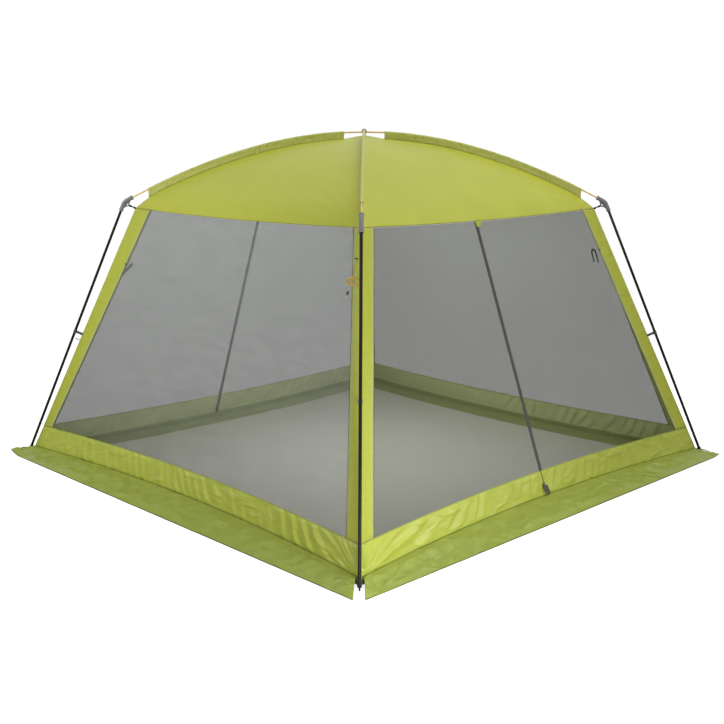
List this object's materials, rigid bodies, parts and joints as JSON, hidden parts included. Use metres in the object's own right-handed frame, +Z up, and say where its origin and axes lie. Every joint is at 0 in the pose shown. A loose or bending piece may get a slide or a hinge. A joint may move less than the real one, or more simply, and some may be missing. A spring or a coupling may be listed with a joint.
{
  "type": "camping gazebo",
  "caption": "Square camping gazebo: leaning steel legs, crossed flexible roof poles, domed cloth roof, net walls with zipped doors, cloth bands and ground skirts.",
  "frame": {"origin": "on the ground, under the crown where the roof poles cross", "axes": "+Z up; the front door is in the wall that faces -Y, the back door in the wall that faces +Y; the guy rope is on the wall that faces -X"},
  "size_m": [3.72, 3.72, 2.337],
  "materials": {
    "leg_steel": "satin near-black powder coat",
    "elbow_plastic": "grey moulded plastic",
    "foot_cap": "black moulded cap on a steel tip",
    "hook_cord": "black elastic cord",
    "pole_fibreglass": "tan fibreglass rod, darker ferrule",
    "sleeve_cloth": "olive woven polyester",
    "roof_cloth": "lime coated polyester",
    "tie_webbing": "black webbing and rings",
    "strip_cloth": "lime coated polyester with dark seams",
    "skirt_cloth": "darker green polyester",
    "net_mesh": "fine grey see-through netting",
    "band_cloth": "lime polyester, lightly wrinkled",
    "zip_tape": "dark woven tape with coil teeth",
    "slider_metal": "dark enamelled zinc with cloth pulls",
    "rope_cord": "yellow and white braided cord",
    "runner_plastic": "black moulded plastic"
  },
  "bodies": {
    "shelter": {"leg_lower_front_left": "leg_steel", "leg_upper_front_left": "leg_steel", "elbow_front_left": "elbow_plastic", "foot_front_left": "foot_cap", "eave_hook_front_left": "hook_cord", "leg_lower_front_right": "leg_steel", "leg_upper_front_right": "leg_steel", "elbow_front_right": "elbow_plastic", "foot_front_right": "foot_cap", "eave_hook_front_right": "hook_cord", "leg_lower_back_right": "leg_steel", "leg_upper_back_right": "leg_steel", "elbow_back_right": "elbow_plastic", "foot_back_right": "foot_cap", "eave_hook_back_right": "hook_cord", "leg_lower_back_left": "leg_steel", "leg_upper_back_left": "leg_steel", "elbow_back_left": "elbow_plastic", "foot_back_left": "foot_cap", "eave_hook_back_left": "hook_cord", "roof_pole_1_long": "pole_fibreglass", "roof_pole_1_short": "pole_fibreglass", "roof_pole_2_long": "pole_fibreglass", "roof_pole_2_short": "pole_fibreglass", "pole_sleeve_front_left": "sleeve_cloth", "pole_sleeve_front_right": "sleeve_cloth", "pole_sleeve_back_right": "sleeve_cloth", "pole_sleeve_back_left": "sleeve_cloth", "roof_canopy": "roof_cloth", "apex_tie": "tie_webbing", "corner_strip_front_left": "strip_cloth", "corner_strip_front_right": "strip_cloth", "corner_strip_back_right": "strip_cloth", "corner_strip_back_left": "strip_cloth", "skirt_front": "skirt_cloth", "skirt_right": "skirt_cloth", "skirt_back": "skirt_cloth", "skirt_left": "skirt_cloth", "net_left": "net_mesh", "band_left": "band_cloth", "net_right": "net_mesh", "band_right": "band_cloth", "guy_rope": "rope_cord"},
    "door_front_left": {"door_net_front_left": "net_mesh", "door_band_front_left": "band_cloth", "zip_tape_front_left": "zip_tape", "zip_slider_front_lower": "slider_metal"},
    "zip_slider_front": {"zip_slider_front_upper": "slider_metal"},
    "door_front_right": {"door_net_front_right": "net_mesh", "door_band_front_right": "band_cloth", "zip_tape_front_right": "zip_tape"},
    "door_back_left": {"door_net_back_left": "net_mesh", "door_band_back_left": "band_cloth", "zip_tape_back_left": "zip_tape", "zip_slider_back_lower": "slider_metal"},
    "zip_slider_back": {"zip_slider_back_upper": "slider_metal"},
    "door_back_right": {"door_net_back_right": "net_mesh", "door_band_back_right": "band_cloth", "zip_tape_back_right": "zip_tape"},
    "runner": {"rope_runner": "runner_plastic"}
  },
  "joints": [
    {"name": "door_front_left_slide", "type": "slide", "parent": "shelter", "child": "door_front_left", "axis": [-1, 0, 0], "range_m": [0, 0.5], "deforming": ["door_net_front_left", "door_band_front_left"]},
    {"name": "door_front_right_slide", "type": "slide", "parent": "shelter", "child": "door_front_right", "axis": [1, 0, 0], "range_m": [0, 0.7], "deforming": ["door_net_front_right", "door_band_front_right"]},
    {"name": "door_back_left_slide", "type": "slide", "parent": "shelter", "child": "door_back_left", "axis": [1, 0, 0], "range_m": [0, 0.6], "deforming": ["door_net_back_left", "door_band_back_left"]},
    {"name": "door_back_right_slide", "type": "slide", "parent": "shelter", "child": "door_back_right", "axis": [-1, 0, 0], "range_m": [0, 0.6], "deforming": ["door_net_back_right", "door_band_back_right"]},
    {"name": "zip_front_run", "type": "slide", "parent": "door_front_left", "child": "zip_slider_front", "axis": [-0.1288, 0.2472, 0.9604], "range_m": [0, 1.6]},
    {"name": "zip_back_run", "type": "slide", "parent": "door_back_left", "child": "zip_slider_back", "axis": [0.0916, -0.2487, 0.9643], "range_m": [0, 1.6]},
    {"name": "runner_slide", "type": "slide", "parent": "shelter", "child": "runner", "axis": [0.2907, -0.1736, 0.941], "range_m": [0, 0.024]}
  ]
}
